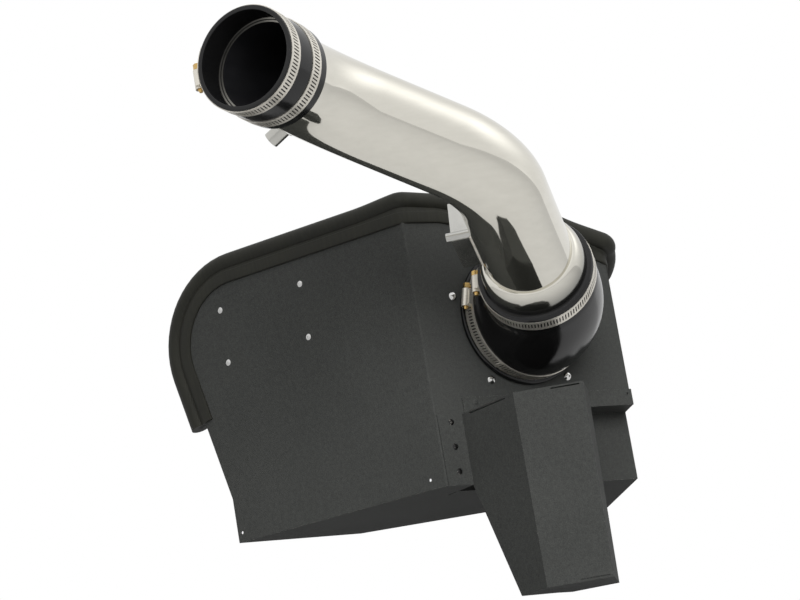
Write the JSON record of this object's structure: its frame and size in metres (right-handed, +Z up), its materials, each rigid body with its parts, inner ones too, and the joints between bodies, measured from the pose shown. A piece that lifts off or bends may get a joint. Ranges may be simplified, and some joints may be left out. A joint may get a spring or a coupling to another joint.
{
  "type": "cold air intake pipe",
  "caption": "Bent polished intake tube with rubber couplings and worm clamps, plugged into a folded steel filter box with a cone filter and an air scoop.",
  "frame": {"origin": "on the underside of the filter box floor, behind the middle of the front panel", "axes": "+Z up; -Y is the face of the box that the tube plugs into; +X is to the right of that face"},
  "size_m": [0.6998, 0.619, 0.5237],
  "materials": {
    "black_powder_coat": "fine textured powder coat, satin",
    "seal_rubber": "matte",
    "bright_rivet": "bright",
    "black_rivet": "satin",
    "polished_alloy": "polished",
    "coupling_rubber": "glossy",
    "adapter_plastic": "satin",
    "bright_screw": "bright",
    "filter_rubber": "satin",
    "filter_cotton": "oiled cotton gauze",
    "screen_steel": "satin",
    "clamp_steel": "stamped stainless",
    "plated_screw": "yellow zinc plate"
  },
  "bodies": {
    "root": {"adapter_nuts": "bright_screw", "adapter_screws": "bright_screw", "air_scoop": "black_powder_coat", "bracket_rivets": "bright_rivet", "breather_nipple": "polished_alloy", "edge_seal": "seal_rubber", "elbow_clamp_lower_band": "clamp_steel", "elbow_clamp_lower_housing": "clamp_steel", "elbow_clamp_lower_screw": "plated_screw", "elbow_clamp_upper_band": "clamp_steel", "elbow_clamp_upper_housing": "clamp_steel", "elbow_clamp_upper_screw": "plated_screw", "elbow_coupling": "coupling_rubber", "filter_base": "filter_rubber", "filter_box": "black_powder_coat", "filter_cap": "filter_rubber", "filter_clamp_band": "clamp_steel", "filter_clamp_housing": "clamp_steel", "filter_clamp_screw": "plated_screw", "filter_media": "filter_cotton", "filter_screen": "screen_steel", "intake_tube": "polished_alloy", "outlet_adapter": "adapter_plastic", "pan_rivets": "black_rivet", "recess_pan": "black_powder_coat", "scoop_rivets": "black_rivet", "sensor_pad": "polished_alloy", "side_bracket": "black_powder_coat", "throttle_clamp_front_band": "clamp_steel", "throttle_clamp_front_housing": "clamp_steel", "throttle_clamp_front_screw": "plated_screw", "throttle_clamp_rear_band": "clamp_steel", "throttle_clamp_rear_housing": "clamp_steel", "throttle_clamp_rear_screw": "plated_screw", "throttle_coupling": "coupling_rubber"}
  },
  "joints": []
}
